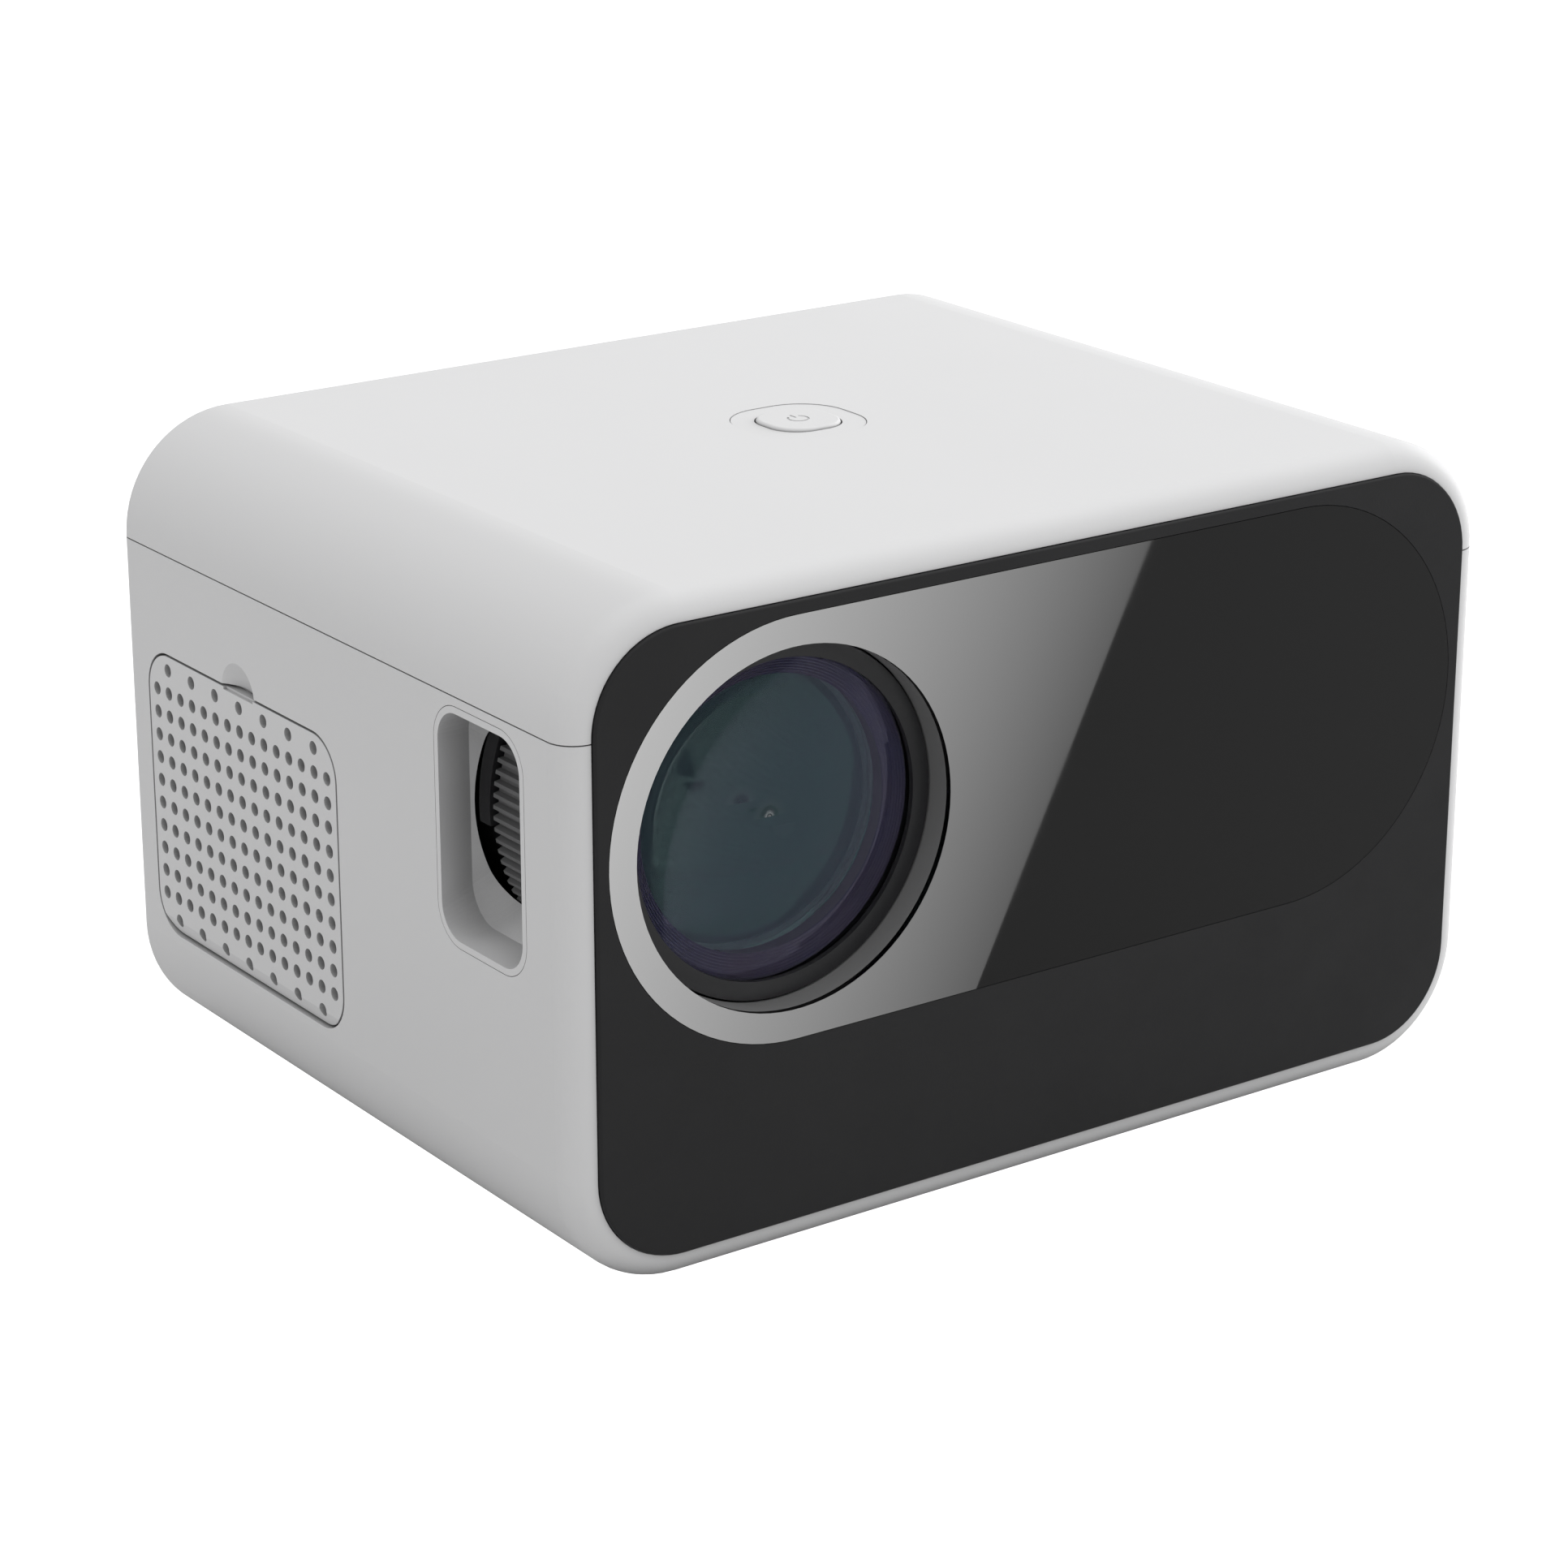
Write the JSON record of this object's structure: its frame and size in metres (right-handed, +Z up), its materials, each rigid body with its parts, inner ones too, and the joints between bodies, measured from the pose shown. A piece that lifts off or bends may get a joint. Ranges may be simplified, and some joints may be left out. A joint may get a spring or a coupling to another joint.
{
  "type": "home projector",
  "caption": "Table-top projector: rounded white case with a dark front plate, a glass capsule round the lens, a manual focus ring in a side window and a hinged filter cover.",
  "frame": {"origin": "centre of the footprint, on the surface that the feet stand on", "axes": "+Z up, the lens looks along -Y, +X is the right-hand side seen from the front"},
  "size_m": [0.2, 0.1528, 0.1243],
  "materials": {
    "white_plastic": "satin white",
    "black_satin": "satin black",
    "smoked_glass": "polished",
    "black_plastic": "matte black",
    "grey_plastic": "matte grey",
    "rubber": "matte",
    "filter_foam": "open foam",
    "brass": "machined",
    "steel": "plated",
    "aluminium": "extruded",
    "optical_glass": "coated",
    "mirror": "silvered",
    "circuit_board": "solder mask",
    "paper_cone": "coated paper",
    "cable_sheath": "satin"
  },
  "bodies": {
    "casing": {"bottom_case": "white_plastic", "top_cover": "white_plastic", "front_plate": "black_satin", "front_glass": "smoked_glass", "lens_hood": "black_plastic", "focus_window": "white_plastic", "button_ring": "white_plastic", "exhaust_grille": "white_plastic", "rear_panel": "black_plastic", "rubber_feet": "rubber", "tripod_insert": "brass", "key_board": "circuit_board", "key_switch": "black_plastic", "fixed_barrel": "black_plastic", "engine_housing": "black_plastic", "engine_lid": "grey_plastic", "folding_mirror": "mirror", "field_lens": "optical_glass", "lcd_panel": "grey_plastic", "collimator_lens": "optical_glass", "heat_glass": "optical_glass", "condenser_lens": "optical_glass", "led_module": "aluminium", "lamp_heatsink": "aluminium", "fan_frame": "black_plastic", "main_board": "circuit_board", "main_chips": "black_plastic", "chip_heatsink": "aluminium", "power_board": "circuit_board", "power_parts": "black_plastic", "mains_inlet": "black_plastic", "hdmi_socket": "steel", "usb_sockets": "steel", "av_jack": "black_plastic", "ir_receiver": "black_plastic", "speaker_frame": "black_plastic", "speaker_cone": "paper_cone", "panel_ribbon": "cable_sheath", "fan_cable": "cable_sheath", "lamp_cable": "cable_sheath", "signal_leads": "cable_sheath", "mains_leads": "cable_sheath", "case_screws": "steel", "engine_screws": "steel", "board_screws": "steel", "lens_screws": "steel", "fan_screws": "steel"},
    "power_button": {"power_button": "white_plastic"},
    "focus_ring": {"focus_ring": "black_plastic"},
    "lens_barrel": {"sliding_barrel": "black_plastic", "front_lens": "optical_glass", "ribbed_retainer": "black_plastic", "second_lens": "optical_glass", "spacer_tube": "black_plastic", "rear_lens": "optical_glass", "rear_retainer": "black_plastic", "guide_pins": "steel"},
    "filter_door": {"filter_cover": "white_plastic", "dust_filter": "filter_foam"},
    "fan_rotor": {"fan_impeller": "black_plastic"}
  },
  "joints": [
    {"name": "power_press", "type": "slide", "parent": "casing", "child": "power_button", "axis": [0, 0, -1], "range_m": [0, 0.0008], "stiffness_N_per_m": 1500, "springref_m": -0.0004},
    {"name": "focus_turn", "type": "hinge", "parent": "casing", "child": "focus_ring", "pos_m": [-0.05505, -0.04865, 0.079], "axis": [0, 1, 0], "range_deg": [-45, 45]},
    {"name": "focus_slide", "type": "slide", "parent": "casing", "child": "lens_barrel", "axis": [0, -1, 0], "range_m": [-0.003, 0.003]},
    {"name": "filter_hinge", "type": "hinge", "parent": "casing", "child": "filter_door", "pos_m": [-0.0994, 0.0332, 0.0284], "axis": [0, -1, 0], "range_deg": [0, 70]},
    {"name": "fan_spin", "type": "hinge", "parent": "casing", "child": "fan_rotor", "pos_m": [0.0856, 0.0332, 0.0546], "axis": [1, 0, 0], "continuous": true}
  ],
  "couplings": [
    {"joint": "focus_slide", "follows": "focus_turn", "m_per_rad": 0.003819}
  ]
}
